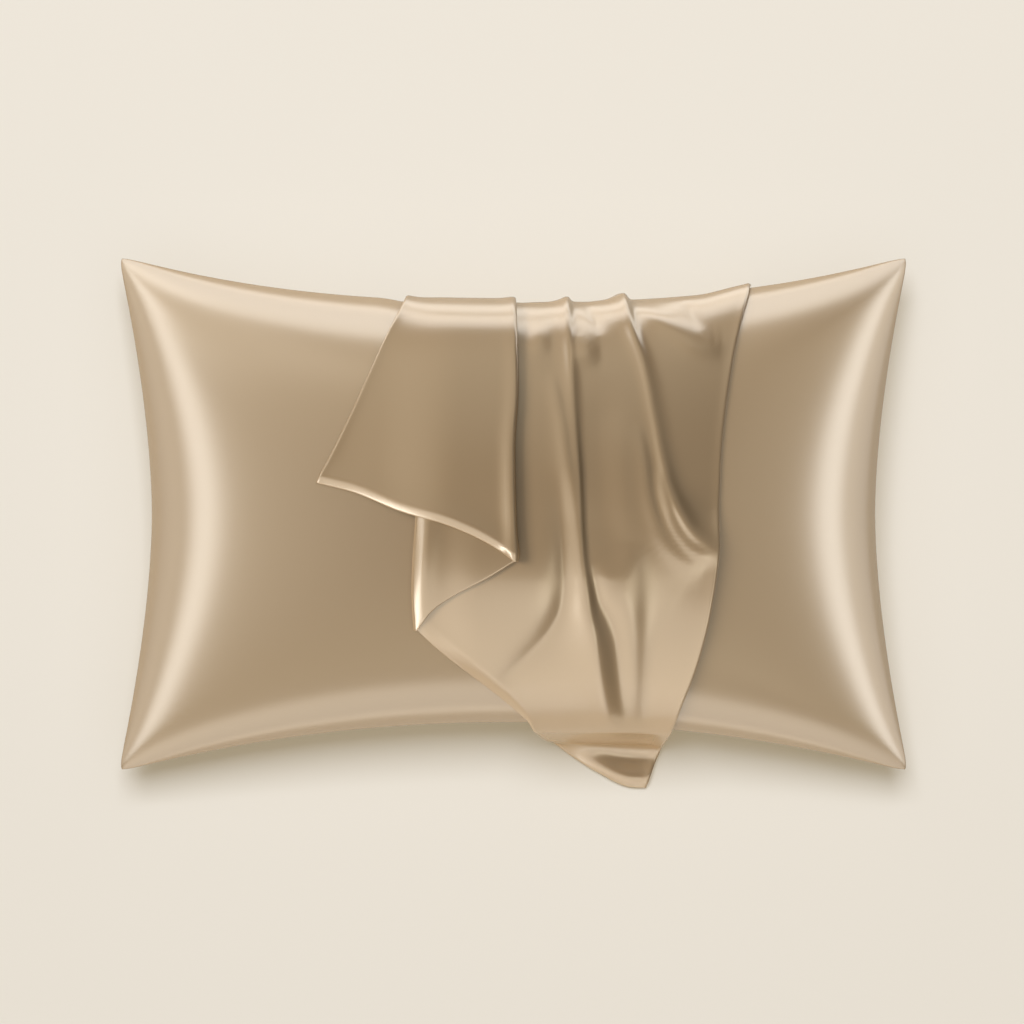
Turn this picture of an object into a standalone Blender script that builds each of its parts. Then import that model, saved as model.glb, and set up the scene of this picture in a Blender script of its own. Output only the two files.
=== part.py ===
"""
A satin pillowcase draped over the long edge of a pillow that wears a matching case.

Two closed bodies, in metres, +Z up, with the floor at z = 0:
  pillow_in_case  a filled, crowned form whose four sides draw in between its corners
  draped_case     one sheet, two plies lying together, that comes over the back rim,
                  folds back on itself twice on the pillow and hangs off the front edge
"""
import math
from collections import namedtuple

import bmesh
import bpy
import numpy as np

MM = 0.001

# ---- Pillow: driving sizes in metres ------------------------------------------------
HALF_LENGTH = 0.357          # middle to the corner tips, along X
HALF_WIDTH = 0.2335          # middle to the corner tips, along Y
END_DRAW_IN = 0.0305         # how far each short side draws in at its middle
LONG_DRAW_IN = 0.0420        # how far the long sides draw in, on average
LONG_DRAW_TILT = 0.0022      # the front side draws in this much more, the back one less
END_CURVE = 1.75             # powers of the two drawn-in curves
LONG_CURVE = 2.4
CORNER_ROUNDING = 0.012      # share of the half sizes lost at a rounded tip
CORNER_REACH = 40            # how closely the rounding keeps to the tip
SEAM_HEIGHT = 0.072          # the seam above the floor, at the middle of a side
CORNER_DROP = 0.022          # the tips hang this much lower
CROWN = 0.078                # the top of the crown above the seam
CROWN_POWERS = (2.4, 2.2)    # along X and along Y
CROWN_ROUND = 0.62           # how round the crown turns down to the seam
UNDER_FILL = 1.15            # over 1, so the underside flattens where it rests
UNDER_ROUND = 1.5
PILLOW_CELLS = (32, 24)

# ---- Draped case: driving sizes in metres --------------------------------------------
SHEET = 0.0020               # both plies together
CROWN_CLEARANCE = 0.0006     # between the sheet and the top of the pillow, where it lies
EDGE_CLEARANCE = 0.0022      # between the sheet and the pillow's seam
FLOOR_CLEARANCE = 0.0004     # between the sheet and the floor, at the hanging tip
LAYER_STEP = 0.0036          # middle of one layer to the middle of the next
LEAVES_AT = 0.955            # share of the half width where the sheet leaves the crown
FLOOR_BEND = 0.028           # radius where the hanging tip turns out along the floor
FRONT_REACH = 0.34           # how far forward the floor line is worked out
BACK_FLOOR = 0.0125          # the line that the layers hang from, above the floor
BACK_BEND = 0.012            # radius where the hanging back turns in under the pillow
BACK_TUCK = 0.040            # how far the back end lies under the pillow's overhang
RIM_BAND = 0.030             # rows of the mesh are level from here up to the rim

Spot = namedtuple("Spot", "x y")
Crest = namedtuple("Crest", "x y height")
Panel = namedtuple("Panel", "start end hem level columns")
Ridge = namedtuple("Ridge", "crest left right")

# Lines of the sheet seen from above, in millimetres, each from the hem to the back end.
# A y past the pillow's rim counts on down the back.
LEFT_EDGE = (Spot(-175, 27.5), Spot(-159, 58.5), Spot(-143, 92), Spot(-126, 130),
             Spot(-110.5, 164.5), Spot(-103.5, 179), Spot(-98, 193), Spot(-96, 320))
OVER_FOLD = (Spot(3.5, -41), Spot(2, -5), Spot(1, 30), Spot(1, 65), Spot(3.5, 101),
             Spot(3, 146), Spot(1.5, 193), Spot(2, 320))
UNDER_FOLD = (Spot(-88, -102.5), Spot(-89.5, -76), Spot(-88.5, -40), Spot(-86, -5),
              Spot(-83, 56), Spot(-81.5, 119), Spot(-81, 193), Spot(-80, 320))
RIGHT_EDGE = (Spot(123, -254), Spot(138, -210), Spot(149.5, -171), Spot(162, -134.5),
              Spot(170, -103), Spot(176, -67), Spot(180, -32), Spot(182, 12.5),
              Spot(185, 65.5), Spot(191, 110), Spot(198, 146.5), Spot(209, 186),
              Spot(213, 198), Spot(211, 320))
FLAP_HEM = (Spot(-175, 27.5), Spot(-141, 19), Spot(-100, 2.5), Spot(-51.5, -11.5),
            Spot(-16, -28), Spot(3.5, -41))
MIDDLE_HEM = (Spot(3.5, -41), Spot(-19, -54), Spot(-55, -72), Spot(-73, -84),
              Spot(-88, -102.5))
BODY_HEM = (Spot(-88, -102.5), Spot(-72.5, -117), Spot(-52, -133.5), Spot(-30, -150),
            Spot(-6, -169.5), Spot(15, -191), Spot(42.5, -216), Spot(80, -241),
            Spot(108, -253.5), Spot(123, -254))

# Folds that stand up on the body of the sheet: crest lines in millimetres, with the
# distance over which each falls away on its left and on its right.
FIRST_FOLD = Ridge((Crest(51, 320, 5), Crest(51, 193, 6), Crest(51, 155, 5.5),
                    Crest(51, 101, 6), Crest(53, 74, 7), Crest(56, 30, 8),
                    Crest(58, -5, 8), Crest(61.5, -40, 8), Crest(66, -67, 8),
                    Crest(74, -103, 8), Crest(81, -134, 7), Crest(87, -166, 5),
                    Crest(97, -215, 2)), 15, 12)
SECOND_FOLD = Ridge((Crest(99, 320, 4), Crest(100, 193, 5), Crest(106, 164, 5.5),
                     Crest(111, 128, 5.5), Crest(119, 92, 6), Crest(127, 56, 7),
                     Crest(132.5, 34, 8), Crest(139, 12, 8), Crest(146, -10, 8),
                     Crest(157, -27, 7), Crest(168, -35, 5), Crest(181, -31, 2)), 16, 12)
MIDDLE_SWELL = Ridge((Crest(84, 120, 3), Crest(90, 30, 4), Crest(104, -60, 4),
                      Crest(112, -140, 4), Crest(122, -220, 2)), 16, 16)
LEFT_SWELL = Ridge((Crest(28, 150, 2), Crest(28, 40, 2.5), Crest(20, -60, 3),
                    Crest(30, -140, 3)), 16, 16)
RIDGES = (FIRST_FOLD, SECOND_FOLD, MIDDLE_SWELL, LEFT_SWELL)

PANELS = (Panel(LEFT_EDGE, OVER_FOLD, FLAP_HEM, 2, 9),
          Panel(OVER_FOLD, UNDER_FOLD, MIDDLE_HEM, 1, 6),
          Panel(UNDER_FOLD, RIGHT_EDGE, BODY_HEM, 0, 28))
TURN_STEPS = 4               # columns round each folded edge
FRONT_ROWS = 18
RIM_STEP = 0.0045            # rows over the rim
BACK_ROWS = 7

SATIN = (0.60, 0.47, 0.31)
SATIN_ROUGHNESS = 0.34


# ---- The pillow's form -----------------------------------------------------------------
def outline(s, t):
    """Plan place of s along X and t along Y, each from -1 to 1."""
    tip = 1 - CORNER_ROUNDING * np.abs(s * t) ** CORNER_REACH
    x = s * (HALF_LENGTH - END_DRAW_IN * (1 - np.abs(t) ** END_CURVE)) * tip
    draw = LONG_DRAW_IN - LONG_DRAW_TILT * t
    y = t * (HALF_WIDTH - draw * (1 - np.abs(s) ** LONG_CURVE)) * tip
    return x, y


def fullness(s, t):
    """0 on the seam, 1 in the middle."""
    along = 1 - np.minimum(np.abs(s), 1) ** CROWN_POWERS[0]
    across = 1 - np.minimum(np.abs(t), 1) ** CROWN_POWERS[1]
    return (along * across) ** CROWN_ROUND


def seam_height(s, t):
    return SEAM_HEIGHT - CORNER_DROP * np.abs(s * t) ** 3


def top_height(s, t):
    return seam_height(s, t) + (SEAM_HEIGHT + CROWN - seam_height(s, t)) * fullness(s, t)


def under_height(s, t):
    return seam_height(s, t) * np.maximum(0, 1 - UNDER_FILL * fullness(s, t)) ** UNDER_ROUND


def spread(f):
    """Closer rows near the seam."""
    return 0.25 * f + 0.75 * math.sin(f * math.pi / 2)


def build_pillow(material):
    body = bmesh.new()
    for height, flip in ((top_height, False), (under_height, True)):
        grid = bmesh.ops.create_grid(body, x_segments=PILLOW_CELLS[0],
                                     y_segments=PILLOW_CELLS[1], size=1.0)
        faces = {face for vertex in grid["verts"] for face in vertex.link_faces}
        for vertex in grid["verts"]:
            s, t = spread(vertex.co.x), spread(vertex.co.y)
            x, y = outline(s, t)
            vertex.co = (x, y, height(s, t))
        if flip:
            bmesh.ops.reverse_faces(body, faces=list(faces))
    bmesh.ops.remove_doubles(body, verts=body.verts, dist=0.00001)
    return finish("pillow_in_case", body, material)


# ---- The line that the sheet lies on ---------------------------------------------------
def bend(centre, radius, start, end, steps=10):
    """Points y, z of an arc between two angles in degrees."""
    angles = np.radians(np.linspace(start, end, steps + 1))
    return np.column_stack((centre[0] + radius * np.cos(angles),
                            centre[1] + radius * np.sin(angles)))


def support_line(x):
    """Points y, z at one x, from the floor in front, over the pillow, to the floor
    behind, and the number of the point on the rim."""
    t = np.sin(np.linspace(-math.asin(LEAVES_AT), math.pi / 2, 160))
    s = x / (HALF_LENGTH - END_DRAW_IN * (1 - np.abs(t) ** END_CURVE))
    crown = np.column_stack((outline(s, t)[1], top_height(s, t)))
    first = crown[0]
    fall = math.atan2(crown[1][1] - first[1], crown[1][0] - first[0])
    foot_y = first[0] - first[1] / math.tan(fall)
    cut = FLOOR_BEND * math.tan(fall / 2)
    turn = bend((foot_y - cut, FLOOR_BEND), FLOOR_BEND, -90, -90 + math.degrees(fall))
    floor = np.array([(-FRONT_REACH, 0.0)])
    rim_y, rim_z = crown[-1]
    back_turn = bend((rim_y - BACK_BEND, BACK_FLOOR + BACK_BEND), BACK_BEND, 0, -90)
    tuck = np.array([(rim_y - 2 * BACK_TUCK, BACK_FLOOR)])
    front = np.vstack((floor, turn, crown))
    return np.vstack((front, back_turn, tuck)), len(front) - 1


STATIONS = np.linspace(-0.26, 0.26, 131)
REACH = np.arange(-0.56, 0.13, 0.002)


def support_table():
    """Support points at every station and every reach, measured from the rim."""
    table = np.empty((len(STATIONS), len(REACH), 2))
    for number, x in enumerate(STATIONS):
        line, rim = support_line(x)
        gone = np.concatenate(([0], np.cumsum(np.linalg.norm(np.diff(line, axis=0), axis=1))))
        gone -= gone[rim]
        table[number, :, 0] = np.interp(REACH, gone, line[:, 0])
        table[number, :, 1] = np.interp(REACH, gone, line[:, 1])
    return table


SUPPORT = support_table()


def support(x, p):
    """Point on the support at x and at the distance p past the rim."""
    column = (x - STATIONS[0]) / (STATIONS[1] - STATIONS[0])
    row = (p - REACH[0]) / (REACH[1] - REACH[0])
    i = np.clip(np.floor(column).astype(int), 0, len(STATIONS) - 2)
    j = np.clip(np.floor(row).astype(int), 0, len(REACH) - 2)
    a, b = (column - i)[..., None], (row - j)[..., None]
    low = SUPPORT[i, j] * (1 - b) + SUPPORT[i, j + 1] * b
    high = SUPPORT[i + 1, j] * (1 - b) + SUPPORT[i + 1, j + 1] * b
    yz = low * (1 - a) + high * a
    return np.stack((x, yz[..., 0], yz[..., 1]), axis=-1)


def raised(x, p, height):
    """Point that stands off the support by a height along its normal."""
    step = 0.003
    along = support(x + step, p) - support(x - step, p)
    over = support(x, p + step) - support(x, p - step)
    normal = np.cross(along, over)
    normal /= np.linalg.norm(normal, axis=-1, keepdims=True)
    return support(x, p) + normal * height[..., None]


def reach_of(x, y):
    """Distance past the rim, negative in front of it, of a place seen from above."""
    station = int(round((x - STATIONS[0]) / (STATIONS[1] - STATIONS[0])))
    front = REACH <= 0
    rim_y = np.interp(0, REACH, SUPPORT[station, :, 0])
    if y >= rim_y:
        return y - rim_y
    return float(np.interp(y, SUPPORT[station, front, 0], REACH[front]))


# ---- The draped sheet ------------------------------------------------------------------
def on_sheet(rows):
    """Rows in millimetres as x and reach, with any third column kept."""
    return np.array([(row.x * MM, reach_of(row.x * MM, row.y * MM)) + tuple(row[2:])
                     for row in rows])


def smooth(points, where):
    """Places on a smooth curve through the points, at fractions of its length."""
    steps = np.linalg.norm(np.diff(points[:, :2], axis=0), axis=1)
    knots = np.concatenate(([0], np.cumsum(steps))) / steps.sum()
    slopes = np.gradient(points, knots, axis=0)
    i = np.clip(np.searchsorted(knots, where, side="right") - 1, 0, len(knots) - 2)
    width = (knots[i + 1] - knots[i])[:, None]
    f = (np.asarray(where)[:, None] - knots[i][:, None]) / width
    return ((1 + 2 * f) * (1 - f) ** 2 * points[i] + f * (1 - f) ** 2 * width * slopes[i]
            + f ** 2 * (3 - 2 * f) * points[i + 1]
            - f ** 2 * (1 - f) * width * slopes[i + 1])


def edge_at(rows, p):
    """x of an edge or fold line at each reach."""
    line = smooth(on_sheet(rows), np.linspace(0, 1, 300))
    return np.interp(p, line[:, 1], line[:, 0])


def row_reaches(hem_p, front_rows, tail):
    """Reaches of one column's rows: spread out from the hem, then level over the rim."""
    return np.concatenate((np.linspace(hem_p, -RIM_BAND, front_rows + 1)[:-1], tail))


def level_rows():
    over = np.arange(-RIM_BAND, 0.010, RIM_STEP)
    back_end = SEAM_HEIGHT - BACK_FLOOR - BACK_BEND + BACK_BEND * math.pi / 2
    down = np.linspace(over[-1], back_end + BACK_TUCK - BACK_BEND, BACK_ROWS + 1)[1:]
    return np.concatenate((over, down))


def panel_grid(panel, start_shift, end_shift):
    """x and reach of a panel's points, columns by rows, between its four border lines."""
    u = np.linspace(0, 1, panel.columns + 1)
    hem = smooth(on_sheet(panel.hem), u)
    tail = level_rows()
    first_p = row_reaches(hem[0, 1], FRONT_ROWS, tail)
    last_p = row_reaches(hem[-1, 1], FRONT_ROWS, tail)
    first = np.column_stack((edge_at(panel.start, first_p) + start_shift, first_p))
    last = np.column_stack((edge_at(panel.end, last_p) + end_shift, last_p))
    hem = hem + np.outer(1 - u, (start_shift, 0)) + np.outer(u, (end_shift, 0))
    across = u[:, None, None]
    grid = (1 - across) * first[None] + across * last[None]
    flat_hem = (1 - across) * first[0] + across * last[0]
    up = np.clip(np.arange(len(first_p)) / FRONT_ROWS, 0, 1)[None, :, None]
    return grid + (1 - up) * (hem[:, None, :] - flat_hem)


def ridge_height(ridge, x, p):
    """Height of one fold at each place. Its crest is listed from the back to the front."""
    crest = smooth(on_sheet(ridge.crest), np.linspace(0, 1, 80))
    ahead = np.gradient(crest[:, :2], axis=0)
    away = np.stack((x, p), axis=-1)[..., None, :] - crest[:, :2]
    gap = np.linalg.norm(away, axis=-1)
    nearest = gap.argmin(axis=-1)
    near = np.take_along_axis(gap, nearest[..., None], axis=-1)[..., 0]
    offset = np.take_along_axis(away, nearest[..., None, None], axis=-2)[..., 0, :]
    heading = ahead[nearest]
    on_right = heading[..., 0] * offset[..., 1] - heading[..., 1] * offset[..., 0] > 0
    reach = np.where(on_right, ridge.right, ridge.left) * MM
    return crest[nearest, 2] * MM * np.exp(-(near / reach) ** 2)


def stand_off(x, p):
    """Height of the lowest layer's middle above its support: close on the crown and on
    the floor in front, and clear of the seam."""
    z = support(x, p)[..., 2]
    on_crown = np.clip((z - SEAM_HEIGHT) / CROWN * 2 - 0.8, 0, 1)
    on_floor = np.clip(1 - z / FLOOR_BEND, 0, 1) * (p < 0)
    gap = EDGE_CLEARANCE + (CROWN_CLEARANCE - EDGE_CLEARANCE) * on_crown
    return SHEET / 2 + gap + (FLOOR_CLEARANCE - EDGE_CLEARANCE) * on_floor


def sheet_columns():
    """The whole sheet as columns of points, from the flap's edge to the right edge."""
    half_turn = LAYER_STEP / 2
    shifts = ((0, -half_turn), (-half_turn, half_turn), (half_turn, 0))
    columns = []
    for panel, shift in zip(PANELS, shifts):
        grid = panel_grid(panel, *shift)
        x, p = grid[..., 0], grid[..., 1]
        height = stand_off(x, p) + panel.level * LAYER_STEP
        if panel.level == 0:
            height = height + sum(ridge_height(ridge, x, p) for ridge in RIDGES)
        columns.extend(zip(x, p, height))
        if panel.level:
            side = 1 if panel.level == 2 else -1
            edge_x, edge_p, edge_height = x[-1], p[-1], height[-1]
            for turn in np.linspace(0, math.pi, TURN_STEPS + 1)[1:-1]:
                columns.append((edge_x + side * half_turn * math.sin(turn), edge_p,
                                edge_height - half_turn * (1 - math.cos(turn))))
    return [np.array(part) for part in zip(*columns)]


def build_drape(material):
    x, p, height = sheet_columns()
    places = raised(x, p, height)
    columns, rows = x.shape
    sheet = bmesh.new()
    grid = bmesh.ops.create_grid(sheet, x_segments=columns - 1, y_segments=rows - 1, size=1.0)
    for vertex in grid["verts"]:
        i = round((vertex.co.x + 1) / 2 * (columns - 1))
        j = round((vertex.co.y + 1) / 2 * (rows - 1))
        vertex.co = places[i, j]
    drape = finish("draped_case", sheet, material)
    solid = drape.modifiers.new("plies", "SOLIDIFY")
    solid.thickness = SHEET
    solid.offset = 0
    return drape


# ---- Materials, objects and the collection ------------------------------------------
def satin(name):
    material = bpy.data.materials.new(name)
    material.use_nodes = True
    shader = material.node_tree.nodes["Principled BSDF"]
    shader.inputs["Base Color"].default_value = (*SATIN, 1)
    shader.inputs["Roughness"].default_value = SATIN_ROUGHNESS
    shader.inputs["Metallic"].default_value = 0
    return material


def finish(name, shape, material):
    mesh = bpy.data.meshes.new(name)
    shape.to_mesh(mesh)
    shape.free()
    mesh.materials.append(material)
    mesh.shade_smooth()
    thing = bpy.data.objects.new(name, mesh)
    collection.objects.link(thing)
    return thing


for old in list(bpy.data.objects):
    bpy.data.objects.remove(old)
collection = bpy.data.collections.new("draped_pillowcase")
bpy.context.scene.collection.children.link(collection)

build_pillow(satin("pillow_satin"))
build_drape(satin("draped_satin"))
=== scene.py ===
"""
Looks of a satin pillowcase draped over a pillow in a matching case, seen from above.
Metres, +Z up, the floor at z = 0, the photograph's upper edge towards +Y.
"""
import math
from collections import namedtuple

import bmesh
import bpy
import numpy as np
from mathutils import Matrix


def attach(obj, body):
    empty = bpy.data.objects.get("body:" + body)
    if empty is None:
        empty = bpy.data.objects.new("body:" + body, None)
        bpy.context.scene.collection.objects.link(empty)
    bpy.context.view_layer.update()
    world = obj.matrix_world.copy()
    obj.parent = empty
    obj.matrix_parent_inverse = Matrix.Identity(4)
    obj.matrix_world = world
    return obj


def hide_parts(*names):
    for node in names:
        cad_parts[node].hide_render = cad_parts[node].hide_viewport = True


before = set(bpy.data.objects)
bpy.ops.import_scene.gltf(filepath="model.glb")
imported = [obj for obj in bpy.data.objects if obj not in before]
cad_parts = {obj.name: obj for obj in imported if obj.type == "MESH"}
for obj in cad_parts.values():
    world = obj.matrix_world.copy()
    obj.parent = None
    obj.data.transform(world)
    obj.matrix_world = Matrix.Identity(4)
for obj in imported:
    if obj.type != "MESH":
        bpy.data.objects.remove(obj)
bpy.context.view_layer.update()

MM = 0.001

# ---- Sizes of the pillow and of the line behind it, the frame's own or close to them ---
HALF_LENGTH = 0.3620         # from the middle to a corner's tip
HALF_WIDTH = 0.2367
END_DRAW_IN = 0.0335         # how far each end is drawn in at its middle
LONG_DRAW_IN = 0.0452        # and each long side
LONG_DRAW_TILT = 0.0022      # which is so much less at the back and more in front
END_CURVE = 1.75             # the powers of those curves
LONG_CURVE = 2.25
LONG_CURVE_TILT = 0.15       # more at the back and less in front
CORNER_ROUNDING = 0.012      # share of its reach that a corner's tip loses
CORNER_REACH = 40            # the power that keeps this near the tip
SEAM_HEIGHT = 0.072
CORNER_DROP = 0.022          # how much lower the seam is at a corner
CORNER_DROP_POWER = 3
CROWN = 0.078                # height of the middle above the seam
CROWN_POWERS = (2.4, 2.2)    # along X and along Y
CROWN_ROUND = 0.62
UNDER_FILL = 1.15            # above 1, so that the underside has a flat patch to rest on
UNDER_ROUND = 1.5

FRONT_REACH = 0.34           # the line starts on the floor this far in front of the middle
BACK_FLOOR = 0.0125          # height of its tucked end
BACK_BEND = 0.012            # radius of the bend there
BACK_TUCK = 0.040            # how far the end is tucked in
RIM_BAND = 0.030             # rows are level with the rim from this far in front of it
CROWN_CLEARANCE = 0.0006     # between the sheet and the crown
FLOOR_CLEARANCE = 0.0004

# ---- Finer sizes that only the looks have ----------------------------------------------
PILLOW_CELLS = (210, 140)
EVEN_SHARE = 0.25            # the rest of the cells' spacing closes up towards the seam
ON_RIM = 0.99999             # s or t from which a point is on the seam
MERGE_REACH = 0.00001        # points closer together than this become one
SEAM_GROOVE = 0.0007         # how far the seam sinks into the pillow's side
DENT = 0.0050                # how far the draped sheet presses the pillow's back edge in
DENT_SPAN = (-0.125, 0.215)  # from here to here along X
DENT_FADE = 0.050
DENT_START = 0.6             # share of the half width from which it shows
EDGE_CLEARANCE = 0.0010      # between the sheet and the pillow's seam
ON_CROWN = (0.4, 0.9)        # which turns into the crown's between these shares of CROWN
LEAVES_AT = 0.9982           # share of the half width where the sheet leaves the crown
FLOOR_BEND = 0.020           # how far before its foot the sheet starts to rise
WALL_BEND = 0.020            # and how far up it is bent
LINE_SAMPLES = 260           # points on the crown in a line that the sheet lies on
BEND_SAMPLES = 33            # and on the bend in front of it
ARC_STEPS = 16               # and on the bend behind it
STATION_REACH = 0.26         # the lines are worked out over this much of X on both sides
STATIONS_COUNT = 209
REACH_SPAN = (-0.56, 0.13)   # and from here in front of the rim to here behind it
REACH_STEP = 0.001
SHEET = 0.0017               # both plies together
EDGE_ROUND = 0.0016          # distance over which a cut edge rounds off
EDGE_THIN = 0.08             # the least share of the thickness that is left at the edge
LAYER_STEP = 0.0033          # middle of one layer to the middle of the next
RIM_LAYER_STEP = 0.0023      # the same over the pillow's back edge, where it is pulled flat
RIM_LAYER_SPAN = 0.080       # and how far in front of it that changes
TURN_STEPS = 8               # round a folded edge
TURN_REACH = 0.0024          # how far a folded edge swells past its panels
TURN_SLOPES = (0.0, 0.45)    # and how steeply it falls away there, on the right and left
FRONT_ROWS = 160
RIM_ROW_STEP = 0.0020        # between the rows over the rim
RIM_PAST = 0.012             # which go on this far down the back
BACK_ROWS = 24
FRONT_LENGTH = 0.3           # rough lengths, to space the steps near an edge: up the front
LAYER_WIDTH = 0.2            # across the flap or the middle layer
BODY_WIDTH = 0.25            # and across the body
EDGE_STEPS = (0, 0.3, 0.8, 1.6, 2.6, 4.0, 6.0)   # millimetres in from a hem or side
NORMAL_STEP = 0.003          # distance over which the direction off the support is taken
PLAN_SAMPLES = 160           # points on a smooth line through one of the tables below
EDGE_SAMPLES = 600           # and on the finer lines: an edge,
HEM_SAMPLES = 400            # a hem,
ROW_SAMPLES = 420            # a row of the body
CREST_SAMPLES = 320          # and a crest
EVENING = 40                 # passes that even out the columns from row to row
LEFT_POWER = 1.3             # how sharply a fold falls on its left
RIGHT_POWER = 1.7            # and on its right
TUCK_FLAT = 0.8              # how much of the folds' height is lost where it is tucked in
TUCK_START = 0.030           # from this far past the rim
TUCK_SPAN = 0.030            # and over this length
EASE = 0.0040                # the stack stands this far off the pillow
EASE_LOW = 0.0060            # and this far in front
EASE_AT = (0.060, 0.0, -0.060)       # x, and the y between which that changes
EASE_EDGE = 0.0017           # it is only this much at the top of the lower left fold's face
EASE_FACE = 0.0095           # which is this wide
EASE_SPAN = 0.050            # and then rises over this width
EASE_HEM = 0.022             # it fades out towards the hem
EASE_RIGHT = 0.100           # and to a share of itself towards the right edge
EASE_RIGHT_SHARE = 0.5
EASE_BACK = 0.060            # and to nothing at the rim
REST_SPAN = 0.070            # the flap comes down on the pillow over this width
REST_IN = 0.025              # and this much more on top of the body
REST_SHARE = 0.12            # share of the layers' height that is left at its left edge
SOFT_REST = 0.0016           # how softly the body's troughs flatten out on the pillow

Spot = namedtuple("Spot", "x y")
Crest = namedtuple("Crest", "x y height left right")
Fold = namedtuple("Fold", "top lean crests")
Panel = namedtuple("Panel", "start end hem level columns")

# Millimetres from the pillow's middle. Edges and folded edges run from the front to the
# back and on past the rim, where y goes on as distance down the back. Hems run from a
# panel's start to its end.
LEFT_EDGE = (Spot(-175, 27.5), Spot(-159, 58.5), Spot(-143, 92), Spot(-126, 130),
             Spot(-110.5, 164.5), Spot(-103.5, 179), Spot(-98, 193), Spot(-96, 320))
OVER_FOLD = (Spot(3.5, -41), Spot(2, -5), Spot(1, 30), Spot(1, 65), Spot(3.5, 101),
             Spot(3, 146), Spot(1.5, 193), Spot(2, 320))
UNDER_FOLD = (Spot(-88, -102.5), Spot(-89.5, -76), Spot(-88.5, -40), Spot(-86, -5),
              Spot(-83, 56), Spot(-81.5, 119), Spot(-81, 193), Spot(-80, 320))
RIGHT_EDGE = (Spot(123, -254), Spot(138, -210), Spot(149.5, -171), Spot(162, -134.5),
              Spot(170, -103), Spot(176, -67), Spot(180, -32), Spot(182, 12.5),
              Spot(185, 65.5), Spot(191, 110), Spot(198, 146.5), Spot(209, 186),
              Spot(213, 198), Spot(211, 320))
FLAP_HEM = (Spot(-175, 27.5), Spot(-141, 19), Spot(-100, 2.5), Spot(-51.5, -11.5),
            Spot(-16, -28), Spot(3.5, -41))
MIDDLE_HEM = (Spot(3.5, -41), Spot(-19, -54), Spot(-55, -72), Spot(-73, -84),
              Spot(-88, -102.5))
BODY_HEM = (Spot(-88, -102.5), Spot(-72.5, -117), Spot(-52, -133.5), Spot(-30, -150),
            Spot(-6, -169), Spot(15, -188.3), Spot(42.5, -216), Spot(80, -241),
            Spot(108, -253.5), Spot(123, -254))

# Folds on the body of the sheet. Each has the radius of its top and how far it leans
# over to its right for each unit of its height, then its crest from the back to the
# front in millimetres, with its height and how fast it falls on its left and right.
# A height below 0 is a trough.
FIRST_FOLD = Fold(1.0, 0.12, (
    Crest(48, 320, 5, 9, 4), Crest(47.8, 197, 6, 9, 3), Crest(47.6, 172, 4, 7, 4.4),
    Crest(48.5, 155, 3.1, 6, 5), Crest(50.4, 126, 2.8, 6, 5), Crest(51.8, 97, 2.8, 9, 4.6),
    Crest(53.6, 65, 3.1, 13, 4), Crest(55.4, 39, 3.6, 14, 3.8), Crest(56.6, 12, 3.7, 14, 3.8),
    Crest(57.8, -16, 3.8, 15, 4), Crest(59.7, -41, 3.8, 17, 4.4), Crest(63.4, -67, 4, 20, 5),
    Crest(66.2, -87, 4.2, 20, 6), Crest(70, -103, 4.6, 19, 8), Crest(73, -121, 4.8, 18, 10),
    Crest(76, -139, 4.5, 18, 11), Crest(80, -159, 3.8, 16, 12), Crest(84.5, -176, 3, 14, 13),
    Crest(91, -198, 0, 12, 13)))
SECOND_FOLD = Fold(1.0, 0, (
    Crest(98.5, 320, 5, 12, 4), Crest(99.3, 196, 7.5, 12, 3.4), Crest(102.2, 174, 5.6, 10, 4),
    Crest(107, 155, 3.6, 6, 5), Crest(113, 137, 3, 5, 6), Crest(118.4, 114.5, 2.7, 4.5, 6.6),
    Crest(122.5, 92, 2.6, 4.5, 6.6), Crest(126, 74, 2.7, 4.5, 6.6), Crest(129, 56.6, 3.1, 5, 6.6),
    Crest(132, 43, 3.6, 5.4, 6.8), Crest(134.2, 32, 4.3, 6, 7.2), Crest(137, 21, 5.3, 6.4, 8),
    Crest(140, 12.4, 6, 6.8, 8.6), Crest(144, 3.5, 6.4, 7, 9), Crest(149.3, -6, 6.4, 7.2, 9.2),
    Crest(156, -15.6, 5.8, 7.4, 9.4), Crest(164, -23, 4.8, 7.8, 9.6),
    Crest(173, -28, 3.5, 8, 9.4), Crest(181, -30, 2, 8, 9)))
CRESCENT_SWELL = Fold(4.0, 0, (
    Crest(135, 26, 0, 20, 20), Crest(141, 9, 1.4, 28, 20), Crest(149, -7, 2.6, 32, 22),
    Crest(157, -17, 3.2, 34, 24), Crest(167, -25, 3.4, 34, 24), Crest(178, -30, 3, 32, 24)))
BESIDE_FIRST = Fold(1.5, 0, (
    Crest(33.2, 123, 0, 6, 3.5), Crest(35.8, 110, 1.2, 6, 3.5), Crest(41.1, 83, 1.4, 6, 3.5),
    Crest(44.7, 55, 1.4, 6, 3.5), Crest(49.1, 26.5, 1.1, 6, 3.5), Crest(52.6, -2, 0.7, 6, 3.5),
    Crest(56.2, -30, 0.5, 6, 3.5), Crest(57.9, -58, 0.4, 6, 3.5), Crest(59, -76, 0.3, 6, 3.5),
    Crest(59, -94, 0, 6, 3.5)))
LEFT_TROUGH = Fold(1.5, 0, (
    Crest(42, 39, 0, 9, 12), Crest(42, 12, -2, 9, 14), Crest(44, -16, -3.4, 9, 17),
    Crest(45, -44, -4.6, 9, 20), Crest(45, -67, -5.2, 10, 21), Crest(41.5, -87, -5.4, 11, 20),
    Crest(31, -105, -4.8, 11, 18), Crest(16, -121, -3.6, 11, 15), Crest(0, -135, -1.8, 10, 12),
    Crest(-14, -145, 0, 9, 10)))
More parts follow.
